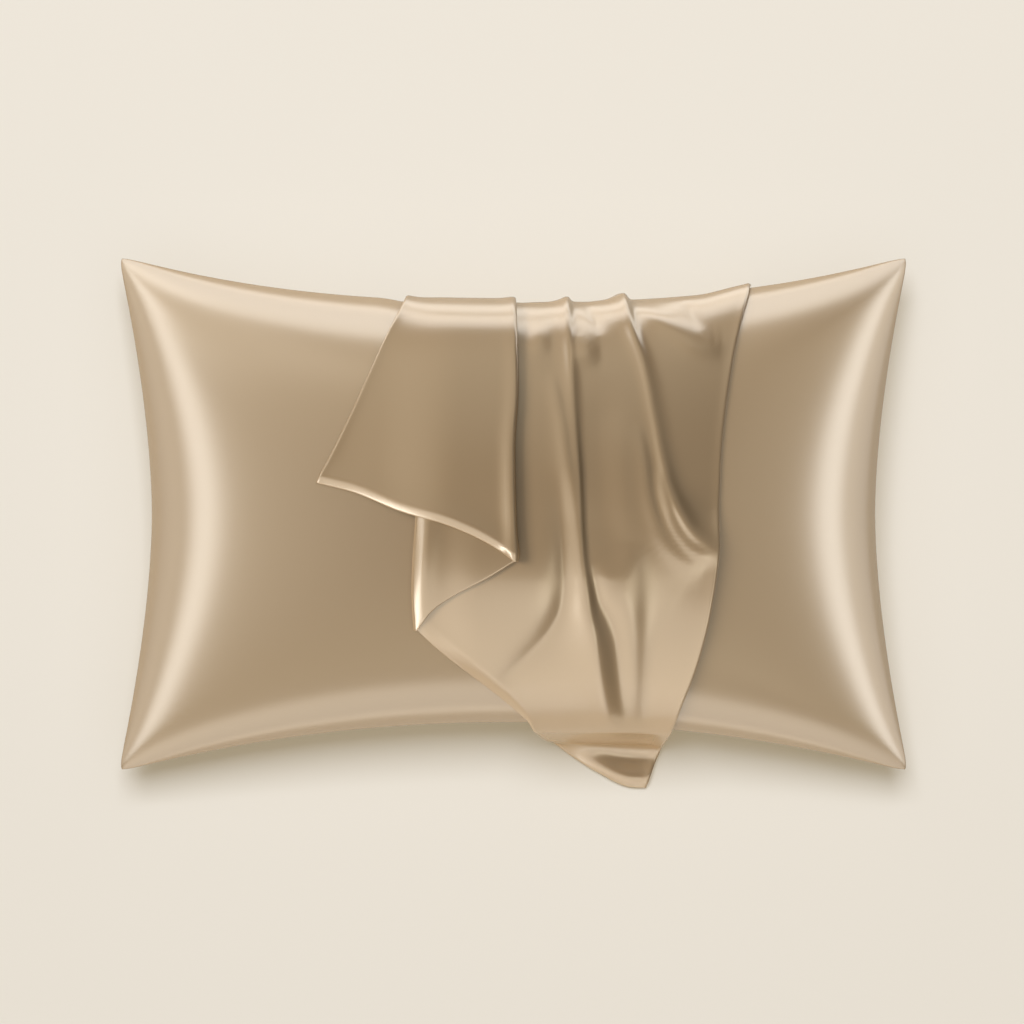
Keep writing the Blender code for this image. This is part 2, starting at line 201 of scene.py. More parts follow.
FIRST_TROUGH = Fold(4.0, 0, (
    Crest(76, 120, 0, 14, 14), Crest(78, 95, -1.2, 15, 16), Crest(79.5, 60, -2.2, 16, 17),
    Crest(80.5, 35, -2.7, 16, 17), Crest(81.5, 10, -2.9, 16, 17), Crest(82.5, -16, -2.7, 16, 16),
    Crest(82.5, -35, -1.7, 15, 14), Crest(82, -55, 0, 14, 12)))
LOWER_TROUGH = Fold(1.5, 0, (
    Crest(68, -45, 0, 4, 6), Crest(71, -60, -1.2, 4, 7), Crest(76, -78, -2.4, 6, 9),
    Crest(84, -92, -2.8, 8, 12), Crest(89, -105, -3, 9, 14), Crest(91, -121, -3, 9, 14),
    Crest(93, -139, -2.8, 9, 13), Crest(95, -153, -2.4, 9, 12), Crest(97, -167, -1.8, 9, 11),
    Crest(99, -181, -1, 9, 10), Crest(100.5, -194, 0, 8, 9)))
MIDDLE_SWELL = Fold(5.0, 0, (
    Crest(88, 90, 0, 13, 11), Crest(90, 60, 1.5, 13, 11), Crest(92, 25, 2, 14, 11),
    Crest(95, -5, 1.5, 14, 11), Crest(99, -25, 0, 14, 11)))
UPPER_RIDGE = Fold(1.5, 0, (
    Crest(108.3, 79, 0, 8, 4), Crest(114.5, 48, 2, 8, 4), Crest(118.9, 12.4, 2.5, 8, 4),
    Crest(124.2, -5.3, 2.5, 8, 4), Crest(131.3, -23, 2, 8, 4.5), Crest(142.8, -37, 1.5, 8, 5),
    Crest(156, -46, 1, 8, 6), Crest(168, -49.5, 0, 8, 6)))
INNER_RIDGE = Fold(1.2, 0, (
    Crest(127, 39, 0, 5, 3.5), Crest(129.5, 23, 1.5, 5, 3.5), Crest(133.1, 8, 2, 5, 3.5),
    Crest(137.5, -6, 2.2, 5, 3.5), Crest(144.6, -19.5, 2.2, 6, 4), Crest(154.3, -30, 2.2, 7, 4),
    Crest(165, -36.3, 2, 7, 5), Crest(175.5, -38, 1, 7, 5)))
FAINT_RIDGE = Fold(3.0, 0, (
    Crest(102, -25, 0, 10, 10), Crest(103, -45, 1, 11, 11), Crest(103, -70, 1.6, 12, 12),
    Crest(103, -95, 1.8, 12, 12), Crest(104, -125, 1.8, 12, 12), Crest(105, -155, 1.6, 12, 12),
    Crest(107, -180, 1, 12, 12), Crest(109, -196, 0, 12, 12)))
RIGHT_SWELL = Fold(1.0, 0, (
    Crest(183, 5, 0, 18, 9), Crest(182, -20, 4, 22, 9), Crest(179.5, -45, 7, 24, 9),
    Crest(177, -67, 8, 24, 9), Crest(173.5, -85, 8, 24, 9), Crest(170, -103, 7.5, 24, 9),
    Crest(162, -134.5, 6, 24, 9), Crest(148.5, -171, 4, 22, 9), Crest(139, -200, 2, 16, 9),
    Crest(133, -224, 2.4, 9, 9), Crest(127, -244, 2, 8, 9), Crest(123, -254, 0, 8, 9)))
BODY_TROUGH = Fold(3.0, 0, (
    Crest(118, -20, 0, 10, 12), Crest(118, -50, -1, 11, 14), Crest(117.5, -90, -1.8, 11, 16),
    Crest(117, -150, -2.3, 11, 14), Crest(117, -175, -2.2, 11, 13),
    Crest(117.5, -194, -1.4, 11, 12), Crest(118, -214, 0, 10, 10)))
TOP_SLANT = Fold(2.0, 0, (
    Crest(112, 186, 0, 7, 10), Crest(120, 178, 1.5, 7, 12), Crest(127, 172, 2.5, 7, 13),
    Crest(146, 158, 3, 7, 14), Crest(163.5, 147, 3, 7, 14), Crest(177, 145, 2, 7, 12),
    Crest(186, 147, 0.5, 7, 10)))
TOP_STREAK = Fold(2.0, 0, (
    Crest(156, 190, 0, 4, 4), Crest(158, 182, -1.5, 4, 4), Crest(163, 172, -1.5, 4, 4),
    Crest(169, 160, 0, 4, 4)))
TOP_NOTCHES = (Fold(1.5, 0, (Crest(7, 196, 0, 5, 6), Crest(8.3, 186, -1.5, 5, 6),
                             Crest(10, 165, -1.5, 5, 6), Crest(12, 145, 0, 5, 6))),
               Fold(1.0, 0, (Crest(64, 194, 0, 3.5, 3.5), Crest(66, 188, -2.5, 3.5, 4),
                             Crest(71, 176, -3, 3.5, 5), Crest(75.6, 165, -1.5, 4, 6),
                             Crest(78, 155, 0, 4, 6))))
TOP_LOBES = (Fold(5.0, 0, (Crest(12, 149, 0, 8, 12), Crest(23, 149, 1.8, 8, 14),
                           Crest(35, 149, 0, 8, 12))),
             Fold(5.0, 0, (Crest(50, 140, 0, 8, 14), Crest(63, 140, 2.8, 8, 16),
                           Crest(78, 141, 0, 8, 14))))
TIP_CURL = Fold(1.0, 0, (
    Crest(46, -212, 0, 6, 8), Crest(61.6, -225, 3, 6, 9), Crest(80, -235, 4.5, 6, 10),
    Crest(94, -241.6, 5, 6, 10), Crest(110, -245.5, 5.5, 7, 10), Crest(123, -246, 4, 7, 11)))
FOLDS = (FIRST_FOLD, SECOND_FOLD, CRESCENT_SWELL, BESIDE_FIRST, LEFT_TROUGH, FIRST_TROUGH,
         LOWER_TROUGH, MIDDLE_SWELL, UPPER_RIDGE, INNER_RIDGE, FAINT_RIDGE, RIGHT_SWELL,
         BODY_TROUGH, TOP_SLANT, TOP_STREAK, *TOP_NOTCHES, *TOP_LOBES, TIP_CURL)
# The mesh is closer near these folds: how much closer, and over how many millimetres.
Closer = namedtuple("Closer", "fold amount reach")
CLOSER = (Closer(FIRST_FOLD, 5, 4), Closer(SECOND_FOLD, 4, 4))
FULL_CLOSENESS = 4           # where the fold is at least this many millimetres high

PANELS = (Panel(LEFT_EDGE, OVER_FOLD, FLAP_HEM, 2, 52),
          Panel(OVER_FOLD, UNDER_FOLD, MIDDLE_HEM, 1, 22),
          Panel(UNDER_FOLD, RIGHT_EDGE, BODY_HEM, 0, 148))

# How far each folded edge of the Z stands proud beside its turn: y, and height there.
Roll = namedtuple("Roll", "y height")
OVER_ROLL = (Roll(-41, 3.2), Roll(0, 3.2), Roll(60, 2.4), Roll(120, 1.4), Roll(193, 1.2))
UNDER_ROLL = (Roll(-102.5, 0.4), Roll(-70, 2.0), Roll(-30, 3.0), Roll(0, 2.0), Roll(40, 0.0))
OVER_ROLL_WIDTH = 0.0075
UNDER_ROLL_WIDTH = 0.013
# The hem's thickness above the sheet, and how far in from the edge it is thickest.
HEM_PUFF = (0.0025, 0.0016, 0.0010)      # on the flap, the middle layer and the body
HEM_REACH = 0.0080
SIDE_PUFF = 0.0006           # the same at the sheet's left and right edges
SIDE_REACH = 0.0022
SWELL_FADE = 2.2             # how many times as far in it fades
SHOULDER = 0.25              # share of a face's width over which its top is rounded
WALL_FLAT = 0.75             # how much of the folds' height is lost where the tip hangs
WALL_TOP = 0.100             # which is below this height
WALL_FOOT = 0.012            # and above this one


# ---- The pillow's form -----------------------------------------------------------------
def ramp(value):
    """A smooth step from 0 to 1."""
    value = np.clip(value, 0, 1)
    return value ** 2 * (3 - 2 * value)


def outline(s, t):
    """Plan place of s along X and t along Y, each from -1 to 1."""
    tip = 1 - CORNER_ROUNDING * np.abs(s * t) ** CORNER_REACH
    x = s * (HALF_LENGTH - END_DRAW_IN * (1 - np.abs(t) ** END_CURVE)) * tip
    draw = LONG_DRAW_IN - LONG_DRAW_TILT * t
    curve = LONG_CURVE + LONG_CURVE_TILT * t
    y = t * (HALF_WIDTH - draw * (1 - np.abs(s) ** curve)) * tip
    dent = ramp((x - DENT_SPAN[0]) / DENT_FADE) * ramp((DENT_SPAN[1] - x) / DENT_FADE)
    near_edge = np.clip((t - DENT_START) / (1 - DENT_START), 0, 1)
    return x, y - DENT * dent * near_edge ** 2


def fullness(s, t):
    """0 on the seam, 1 in the middle."""
    along = 1 - np.minimum(np.abs(s), 1) ** CROWN_POWERS[0]
    across = 1 - np.minimum(np.abs(t), 1) ** CROWN_POWERS[1]
    return (along * across) ** CROWN_ROUND


def seam_height(s, t):
    return SEAM_HEIGHT - CORNER_DROP * np.abs(s * t) ** CORNER_DROP_POWER


def top_height(s, t):
    return seam_height(s, t) + (SEAM_HEIGHT + CROWN - seam_height(s, t)) * fullness(s, t)


def under_height(s, t):
    return seam_height(s, t) * np.maximum(0, 1 - UNDER_FILL * fullness(s, t)) ** UNDER_ROUND


def closed_shell(name, upper, lower):
    """A closed mesh between two grids of points that share their outlines' order."""
    columns, rows = upper.shape[:2]
    count = columns * rows
    number = np.arange(count).reshape(columns, rows)
    quads = np.stack((number[:-1, :-1], number[1:, :-1], number[1:, 1:], number[:-1, 1:]),
                     axis=-1).reshape(-1, 4)
    border = np.concatenate((number[:-1, 0], number[-1, :-1], number[:0:-1, -1],
                             number[0, :0:-1]))
    after = np.roll(border, -1)
    wall = np.stack((border, border + count, after + count, after), axis=-1)
    faces = np.concatenate((quads, quads[:, ::-1] + count, wall))
    points = np.concatenate((upper.reshape(-1, 3), lower.reshape(-1, 3)))
    mesh = bpy.data.meshes.new(name)
    mesh.from_pydata(points.tolist(), [], faces.tolist())
    mesh.update()
    body = bmesh.new()
    body.from_mesh(mesh)
    bmesh.ops.remove_doubles(body, verts=body.verts, dist=MERGE_REACH)
    bmesh.ops.recalc_face_normals(body, faces=body.faces)
    body.to_mesh(mesh)
    body.free()
    mesh.shade_smooth()
    thing = bpy.data.objects.new(name, mesh)
    bpy.context.scene.collection.objects.link(thing)
    return thing


def build_pillow():
    grids = []
    for count in PILLOW_CELLS:
        even = np.linspace(-1, 1, count + 1)
        grids.append(EVEN_SHARE * even + (1 - EVEN_SHARE) * np.sin(even * math.pi / 2))
    s, t = np.meshgrid(*grids, indexing="ij")
    x, y = outline(s, t)
    rim = np.maximum(np.abs(s), np.abs(t)) > ON_RIM
    pinch = np.where(rim, 1 - SEAM_GROOVE / HALF_WIDTH, 1)
    upper = np.stack((x * pinch, y * pinch, top_height(s, t)), axis=-1)
    lower = np.stack((x * pinch, y * pinch, under_height(s, t)), axis=-1)
    return closed_shell("pillow", upper, lower)


# ---- The line that the sheet lies on ---------------------------------------------------
def bend(centre, radius, start, end):
    """Points y, z of an arc between two angles in degrees."""
    angles = np.radians(np.linspace(start, end, ARC_STEPS + 1))
    return np.column_stack((centre[0] + radius * np.cos(angles),
                            centre[1] + radius * np.sin(angles)))


def support_line(x):
    """Points y, z at one x, from the floor in front, over the pillow, to the end tucked
    in behind, and the number of the point on the rim."""
    t = np.sin(np.linspace(-math.asin(LEAVES_AT), math.pi / 2, LINE_SAMPLES))
    s = x / (HALF_LENGTH - END_DRAW_IN * (1 - np.abs(t) ** END_CURVE))
    crown = np.column_stack((outline(s, t)[1], top_height(s, t)))
    first = crown[0]
    fall = math.atan2(crown[1][1] - first[1], crown[1][0] - first[0])
    foot_y = first[0] - first[1] / math.tan(fall)
    part = np.linspace(0, 1, BEND_SAMPLES)[:, None]
    up_wall = (foot_y + WALL_BEND * math.cos(fall), WALL_BEND * math.sin(fall))
    turn = ((1 - part) ** 2 * (foot_y - FLOOR_BEND, 0) + 2 * part * (1 - part) * (foot_y, 0)
            + part ** 2 * up_wall)
    floor = np.array([(-FRONT_REACH, 0.0)])
    rim_y = crown[-1][0]
    back_turn = bend((rim_y - BACK_BEND, BACK_FLOOR + BACK_BEND), BACK_BEND, 0, -90)
    tuck = np.array([(rim_y - 2 * BACK_TUCK, BACK_FLOOR)])
    front = np.vstack((floor, turn, crown))
    return np.vstack((front, back_turn, tuck)), len(front) - 1


STATIONS = np.linspace(-STATION_REACH, STATION_REACH, STATIONS_COUNT)
REACH = np.arange(*REACH_SPAN, REACH_STEP)


def support_table():
    """Support points at every station and every reach, measured from the rim."""
    table = np.empty((len(STATIONS), len(REACH), 2))
    for number, x in enumerate(STATIONS):
        line, rim = support_line(x)
        gone = np.concatenate(([0], np.cumsum(np.linalg.norm(np.diff(line, axis=0), axis=1))))
        gone -= gone[rim]
        table[number, :, 0] = np.interp(REACH, gone, line[:, 0])
        table[number, :, 1] = np.interp(REACH, gone, line[:, 1])
    return table


SUPPORT = support_table()


def support(x, p):
    """Point on the support at x and at the distance p past the rim."""
    column = (x - STATIONS[0]) / (STATIONS[1] - STATIONS[0])
    row = (p - REACH[0]) / (REACH[1] - REACH[0])
    i = np.clip(np.floor(column).astype(int), 0, len(STATIONS) - 2)
    j = np.clip(np.floor(row).astype(int), 0, len(REACH) - 2)
    a, b = (column - i)[..., None], (row - j)[..., None]
    low = SUPPORT[i, j] * (1 - b) + SUPPORT[i, j + 1] * b
    high = SUPPORT[i + 1, j] * (1 - b) + SUPPORT[i + 1, j + 1] * b
    yz = low * (1 - a) + high * a
    return np.stack((x, yz[..., 0], yz[..., 1]), axis=-1)


def raised(x, p, height):
    """Point that stands off the support by a height along its normal."""
    along = support(x + NORMAL_STEP, p) - support(x - NORMAL_STEP, p)
    over = support(x, p + NORMAL_STEP) - support(x, p - NORMAL_STEP)
    normal = np.cross(along, over)
    normal /= np.linalg.norm(normal, axis=-1, keepdims=True)
    return support(x, p) + normal * height[..., None]


def reach_of(x, y):
    """Distance past the rim, negative in front of it, of a place seen from above."""
    station = int(round((x - STATIONS[0]) / (STATIONS[1] - STATIONS[0])))
    front = REACH <= 0
    rim_y = np.interp(0, REACH, SUPPORT[station, :, 0])
    if y >= rim_y:
        return y - rim_y
    return float(np.interp(y, SUPPORT[station, front, 0], REACH[front]))


# ---- The draped sheet ------------------------------------------------------------------
def smooth(points, where):
    """Places on a smooth curve through the points, at fractions of its length."""
    steps = np.linalg.norm(np.diff(points[:, :2], axis=0), axis=1)
    knots = np.concatenate(([0], np.cumsum(steps))) / steps.sum()
    slopes = np.gradient(points, knots, axis=0)
    i = np.clip(np.searchsorted(knots, where, side="right") - 1, 0, len(knots) - 2)
    width = (knots[i + 1] - knots[i])[:, None]
    f = (np.asarray(where)[:, None] - knots[i][:, None]) / width
    return ((1 + 2 * f) * (1 - f) ** 2 * points[i] + f * (1 - f) ** 2 * width * slopes[i]
            + f ** 2 * (3 - 2 * f) * points[i + 1]
            - f ** 2 * (1 - f) * width * slopes[i + 1])


def on_sheet(rows):
    """A smooth line through rows in millimetres, as x and reach in metres, with any
    other columns kept."""
    plan = smooth(np.array(rows, dtype=float), np.linspace(0, 1, PLAN_SAMPLES))
    return np.array([(x * MM, reach_of(x * MM, y * MM), *rest) for x, y, *rest in plan])


def edge_at(rows, p):
    """x of an edge or fold line at each reach."""
    line = smooth(on_sheet(rows), np.linspace(0, 1, EDGE_SAMPLES))
    return np.interp(p, line[:, 1], line[:, 0])


def level_rows():
    """Reaches of the rows over the rim, down the back and along the tucked end."""
    over = np.arange(-RIM_BAND, RIM_PAST, RIM_ROW_STEP)
    back_end = SEAM_HEIGHT - BACK_FLOOR - BACK_BEND + BACK_BEND * math.pi / 2
    down = np.linspace(over[-1], back_end + BACK_TUCK - BACK_BEND, BACK_ROWS + 1)[1:]
    return np.concatenate((over, down))


def eased(count, near_start, near_end, length):
    """Fractions of a length in metres, with close steps near one end or both."""
    inner = np.array(EDGE_STEPS) * MM / length
    first = inner if near_start else np.array([0.0])
    last = 1 - inner[::-1] if near_end else np.array([1.0])
    middle = np.linspace(first[-1], last[0], count - len(first) - len(last) + 3)[1:-1]
    return np.concatenate((first, middle, last))


def crest_line(fold):
    """x, reach, height and widths along a fold's crest."""
    return smooth(on_sheet(fold.crests), np.linspace(0, 1, CREST_SAMPLES))


def from_crest(line, x, p):
    """For each place: distance right of a crest, distance past its ends, the direction
    to its right, and its height and widths there in millimetres."""
    ahead = np.gradient(line[:, :2], axis=0)
    spacing = np.linalg.norm(ahead, axis=1).mean()
    ahead /= np.linalg.norm(ahead, axis=1, keepdims=True)
    away = np.stack((x, p), axis=-1)[:, None, :] - line[None, :, :2]
    nearest = (away ** 2).sum(axis=-1).argmin(axis=1)
    offset, heading = away[np.arange(len(x)), nearest], ahead[nearest]
    across = heading[:, 0] * offset[:, 1] - heading[:, 1] * offset[:, 0]
    place = nearest + (heading * offset).sum(axis=1) / spacing
    on_line = np.clip(place, 0, len(line) - 1)
    values = [np.interp(on_line, np.arange(len(line)), line[:, k]) for k in (2, 3, 4)]
    to_right = np.stack((-heading[:, 1], heading[:, 0]), axis=-1)
    return across, (place - on_line) * spacing, to_right, values


def relief(x, p):
    """Height of all the folds together, and the shift in x and p by which they lean."""
    total = np.zeros(x.shape)
    shift = np.zeros(x.shape + (2,))
    for fold in FOLDS:
        line = crest_line(fold)
        top = fold.top * MM
        for column in range(x.shape[0]):
            across, past, to_right, (height, left, right) = from_crest(
                line, x[column], p[column])
            fall = np.sqrt(across ** 2 + past ** 2 + top ** 2) - top
            fade = np.where(across > 0, right, left) * MM
            power = np.where(across > 0, RIGHT_POWER, LEFT_POWER)
            own = height * MM * np.exp(-(fall / fade) ** power)
            total[column] += own
            shift[column] += fold.lean * own[:, None] * to_right
    return total, shift


def body_fractions(first, last, hem_bow, ahead, count):
    """Fractions across each row of the body, closer together near its main folds."""
    fine = np.linspace(0, 1, ROW_SAMPLES)
    lines = [crest_line(closer.fold) for closer in CLOSER]
    even = eased(count, False, True, BODY_WIDTH)
    out = np.empty((len(even), len(first)))
    for row in range(len(first)):
        spots = first[row] + fine[:, None] * (last[row] - first[row])
        spots = spots + (1 - ahead[row]) * hem_bow(fine)
        weight = np.ones(len(fine))
        for closer, line in zip(CLOSER, lines):
            across, past, _, (height, _, _) = from_crest(line, spots[:, 0], spots[:, 1])
            near = np.hypot(across, past) / (closer.reach * MM)
            weight += closer.amount * np.clip(height / FULL_CLOSENESS, 0, 1) * np.exp(-near ** 2)
        run = np.concatenate(([0], np.cumsum((weight[1:] + weight[:-1]) / 2)))
        out[:, row] = np.interp(even, run / run[-1], fine)
    for _ in range(EVENING):
        out[:, 1:-1] = (out[:, :-2] + 2 * out[:, 1:-1] + out[:, 2:]) / 4
    return out


def panel_grid(panel, start_shift, end_shift):
    """x and reach of a panel's points, columns by rows, between its four border lines."""
    tail = level_rows()
    up = eased(FRONT_ROWS, True, False, FRONT_LENGTH)
    ahead = np.concatenate((up, np.ones(len(tail) - 1)))
    hem = smooth(on_sheet(panel.hem), np.linspace(0, 1, HEM_SAMPLES))
    first_p = np.concatenate((hem[0, 1] + (-RIM_BAND - hem[0, 1]) * up[:-1], tail))
    last_p = np.concatenate((hem[-1, 1] + (-RIM_BAND - hem[-1, 1]) * up[:-1], tail))
    first = np.column_stack((edge_at(panel.start, first_p) + start_shift, first_p))
    last = np.column_stack((edge_at(panel.end, last_p) + end_shift, last_p))
    part = np.linspace(0, 1, HEM_SAMPLES)[:, None]
    bow = hem - (hem[0] + part * (hem[-1] - hem[0]))

    def hem_bow(u):
        return np.stack([np.interp(u, part[:, 0], bow[:, k]) for k in (0, 1)], axis=-1)

    if panel.level:
        u = eased(panel.columns, panel.level == 2, False, LAYER_WIDTH)
        u = np.repeat(u[:, None], len(ahead), axis=1)
    else:
        u = body_fractions(first, last, hem_bow, ahead, panel.columns)
    across = u[..., None]
    return (1 - across) * first + across * last + (1 - ahead)[:, None] * hem_bow(u)


def stand_off(x, p):
    """Height of the lowest layer's middle above its support."""
    z = support(x, p)[..., 2]
    start, end = ON_CROWN
    on_crown = np.clip(((z - SEAM_HEIGHT) / CROWN - start) / (end - start), 0, 1)
    on_floor = np.clip(1 - z / FLOOR_BEND, 0, 1) * (p < 0)
    gap = EDGE_CLEARANCE + (CROWN_CLEARANCE - EDGE_CLEARANCE) * on_crown
    return SHEET / 2 + gap + (FLOOR_CLEARANCE - EDGE_CLEARANCE) * on_floor


def face(part):
    """A straight slope from 0 up to 1 with a rounded shoulder."""
    shoulder = np.clip(part, 1 - SHOULDER, 1 + SHOULDER) - (1 - SHOULDER)
    return np.clip(part, 0, 1 + SHOULDER) - shoulder ** 2 / (4 * SHOULDER)


def roll_height(table, x, p, crest, width):
    """Extra height beside a folded edge, falling on both sides of its crest."""
    line = on_sheet([(0, roll.y, roll.height) for roll in table])
    high = np.interp(p, line[:, 1], line[:, 2] * MM)
    return high * np.exp(-((x - crest) / width) ** 2)


def ease(x, p):
    """How far the whole stack stands off the pillow, away from its borders."""
    left, right = edge_at(UNDER_FOLD, p), edge_at(RIGHT_EDGE, p)
    hem = on_sheet(BODY_HEM)
    above_hem = p - np.interp(x, hem[:, 0], hem[:, 1])
    start, end = (reach_of(EASE_AT[0], y) for y in EASE_AT[1:])
    height = EASE_LOW + (EASE - EASE_LOW) * ramp((p - end) / (start - end))
    inward = x - left
    height = (EASE_EDGE * face(inward / EASE_FACE)
              + (height - EASE_EDGE) * ramp((inward - EASE_FACE) / EASE_SPAN))
    from_right = EASE_RIGHT_SHARE + (1 - EASE_RIGHT_SHARE) * ramp((right - x) / EASE_RIGHT)
    return height * from_right * ramp(above_hem / EASE_HEM) * ramp(-p / EASE_BACK)


def layer(panel, shift):
    """x, reach and height of one layer of the Z."""
    grid = panel_grid(panel, *shift)
    x, p = grid[..., 0], grid[..., 1]
    height = stand_off(x, p)
    step = RIM_LAYER_STEP + (LAYER_STEP - RIM_LAYER_STEP) * ramp(-p / RIM_LAYER_SPAN)
    inward = x - edge_at(UNDER_FOLD, p)
    if panel.level == 2:
        over_stack = ramp((inward + REST_SPAN) / (REST_SPAN + REST_IN))
        height += (2 * step * (REST_SHARE + (1 - REST_SHARE) * over_stack)
                   + EASE * ramp(inward / REST_SPAN + 0.5) * ramp(-p / EASE_BACK))
        return x, p, height + roll_height(OVER_ROLL, x, p, x[-1], OVER_ROLL_WIDTH)
    if panel.level == 1:
        height += step + ease(x, p)
        rise = face(inward / EASE_FACE)
        crest = x[-1] + EASE_FACE
        roll = roll_height(UNDER_ROLL, np.maximum(x, crest), p, crest, UNDER_ROLL_WIDTH)
        return x, p, height + rise * roll
    folds, lean = relief(x, p)
    tucked = 1 - TUCK_FLAT * ramp((p - TUCK_START) / TUCK_SPAN)
    z = support(x, p)[..., 2]
    hangs = ramp((WALL_TOP - z) / (WALL_TOP - SEAM_HEIGHT)) * ramp(z / WALL_FOOT)
    flattened = 1 - WALL_FLAT * hangs * (p < -RIM_BAND)
    folds = folds * tucked * flattened + ease(x, p)
    folds = (folds + np.sqrt(folds ** 2 + SOFT_REST ** 2)) / 2
    return x + lean[..., 0], p + lean[..., 1], height + folds


def turn(upper, lower, side, slope):
    """Columns round a folded edge, from the layer above to the layer below."""
    for angle in np.linspace(0, math.pi, TURN_STEPS + 1)[1:-1]:
        part = (1 - math.cos(angle)) / 2
        x, p, height = (a + (b - a) * part for a, b in zip(upper, lower))
        out = TURN_REACH * math.sin(angle)
        yield x + side * out, p, height - slope * out


def sheet_columns():
    """The whole sheet as columns of points, from the flap's edge to the right edge."""
    shifts = ((0, -TURN_REACH), (-TURN_REACH, TURN_REACH), (TURN_REACH, 0))
    layers = [layer(panel, shift) for panel, shift in zip(PANELS, shifts)]
    columns, owners = [], []
    for number, parts in enumerate(layers):
        columns.extend(zip(*parts))
        owners.extend([number] * len(parts[0]))
        if number + 1 < len(layers):
            upper = [part[-1] for part in parts]
            lower = [part[0] for part in layers[number + 1]]
            columns.extend(turn(upper, lower, 1 - 2 * number, TURN_SLOPES[number]))
            owners.extend([number + 0.5] * (TURN_STEPS - 1))
    return [np.array(part) for part in zip(*columns)], np.array(owners)


def swell(distance, height, reach):
    """Extra thickness at a distance in from an edge."""
    return height * face(distance / reach) * np.exp(-(distance / reach / SWELL_FADE) ** 2)


def build_drape():
    columns, owners = sheet_columns()
    middle = raised(*columns)
    over = np.gradient(middle, axis=1)
    normal = np.cross(np.gradient(middle, axis=0), over)
    normal /= np.linalg.norm(normal, axis=-1, keepdims=True)
    along = np.linalg.norm(np.diff(middle, axis=0), axis=-1)
    beside = np.linalg.norm(np.diff(middle, axis=1), axis=-1)
    from_left = np.vstack((np.zeros((1, middle.shape[1])), np.cumsum(along, axis=0)))
    from_hem = np.hstack((np.zeros((len(middle), 1)), np.cumsum(beside, axis=1)))
    from_right = from_left[-1] - from_left
    from_back = from_hem[:, -1:] - from_hem
    nearest = np.minimum(np.minimum(from_left, from_right), np.minimum(from_hem, from_back))
    inside = np.clip(nearest / EDGE_ROUND, 0, 1)
    half = SHEET / 2 * np.maximum(np.sqrt(1 - (1 - inside) ** 2), EDGE_THIN)
    puff = np.interp(owners, range(len(HEM_PUFF)), HEM_PUFF)[:, None]
    thick = (swell(from_hem, puff, HEM_REACH) + swell(from_left, SIDE_PUFF, SIDE_REACH)
             + swell(from_right, SIDE_PUFF, SIDE_REACH))
    upper = middle + normal * (half + thick)[..., None]
    return closed_shell("drape", upper, middle - normal * half[..., None])


# ---- Materials -------------------------------------------------------------------------
CHAMPAGNE = (0.37, 0.24, 0.122)
SATIN_ROUGHNESS = 0.25
SATIN_IOR = 3.1
SATIN_METALLIC = 0.15
SATIN_GLOSS_TINT = (1, 0.97, 0.87, 1)


def satin(name, colour):
    """A smooth cloth with a strong sheen."""
    material = bpy.data.materials.new(name)
    material.use_nodes = True
    shader = material.node_tree.nodes["Principled BSDF"]
    shader.inputs["Base Color"].default_value = (*colour, 1)
    shader.inputs["Roughness"].default_value = SATIN_ROUGHNESS
    shader.inputs["IOR"].default_value = SATIN_IOR
    shader.inputs["Metallic"].default_value = SATIN_METALLIC
    shader.inputs["Specular Tint"].default_value = SATIN_GLOSS_TINT
    return material


def plain(name, colour, glow, roughness):
    """A matt surface with a little painted glow, which lifts it and its shade evenly."""
    material = bpy.data.materials.new(name)
    material.use_nodes = True
    shader = material.node_tree.nodes["Principled BSDF"]
    shader.inputs["Base Color"].default_value = (*colour, 1)
    shader.inputs["Roughness"].default_value = roughness
    shader.inputs["Specular IOR Level"].default_value = 0.0
    shader.inputs["Emission Color"].default_value = (*glow, 1)
    shader.inputs["Emission Strength"].default_value = 1.0
    return material


# ---- Stage: floor, light and camera ------------------------------------------------
Lamp = namedtuple("Lamp", "name off_vertical heading distance width length radiance "
                  "tint gloss matt on")
